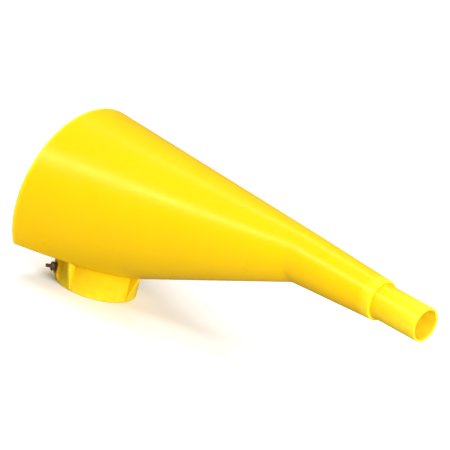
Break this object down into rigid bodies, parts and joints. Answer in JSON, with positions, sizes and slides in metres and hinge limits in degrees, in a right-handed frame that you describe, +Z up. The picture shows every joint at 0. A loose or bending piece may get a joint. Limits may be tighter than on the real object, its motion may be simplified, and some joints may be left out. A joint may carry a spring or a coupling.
{
  "type": "funnel",
  "caption": "Clamp-on polyethylene pouring funnel with a wide offset mouth, a long tapered spout, a stepped outlet and a round neck collar held by thumb screws.",
  "frame": {"origin": "centre of the neck collar's lower rim, which is the end of its bore", "axes": "+Z up the collar towards the bowl, +X along the spout towards the outlet, +Y completes the right-handed frame"},
  "size_m": [0.3173, 0.13, 0.1198],
  "materials": {
    "polyethylene": "yellow moulded polyethylene, soft sheen",
    "screw_steel": "dull plated steel",
    "insert_brass": "turned brass",
    "pad_nylon": "natural nylon"
  },
  "bodies": {
    "root": {"bowl_shell": "polyethylene", "spout_tube": "polyethylene", "outlet_nozzle": "polyethylene", "neck_collar": "polyethylene", "collar_gussets": "polyethylene", "screw_insert_near": "insert_brass", "screw_insert_far": "insert_brass"},
    "pad_near": {"swivel_pad_near": "pad_nylon"},
    "screw_near": {"clamp_screw_near": "screw_steel"},
    "pad_far": {"swivel_pad_far": "pad_nylon"},
    "screw_far": {"clamp_screw_far": "screw_steel"}
  },
  "joints": [
    {"name": "pad_slide_near", "type": "slide", "parent": "root", "child": "pad_near", "axis": [0.5736, 0.8192, 0], "range_m": [0, 0.00159]},
    {"name": "screw_turn_near", "type": "hinge", "parent": "pad_near", "child": "screw_near", "pos_m": [-0.01721, -0.02457, 0.0096], "axis": [0.5736, 0.8192, 0], "range_deg": [0, 450]},
    {"name": "pad_slide_far", "type": "slide", "parent": "root", "child": "pad_far", "axis": [0.5736, -0.8192, 0], "range_m": [0, 0.00159]},
    {"name": "screw_turn_far", "type": "hinge", "parent": "pad_far", "child": "screw_far", "pos_m": [-0.01721, 0.02457, 0.0096], "axis": [0.5736, -0.8192, 0], "range_deg": [0, 450]}
  ],
  "couplings": [
    {"joint": "screw_turn_near", "follows": "pad_slide_near", "rad_per_m": 4947.4},
    {"joint": "screw_turn_far", "follows": "pad_slide_far", "rad_per_m": 4947.4}
  ]
}
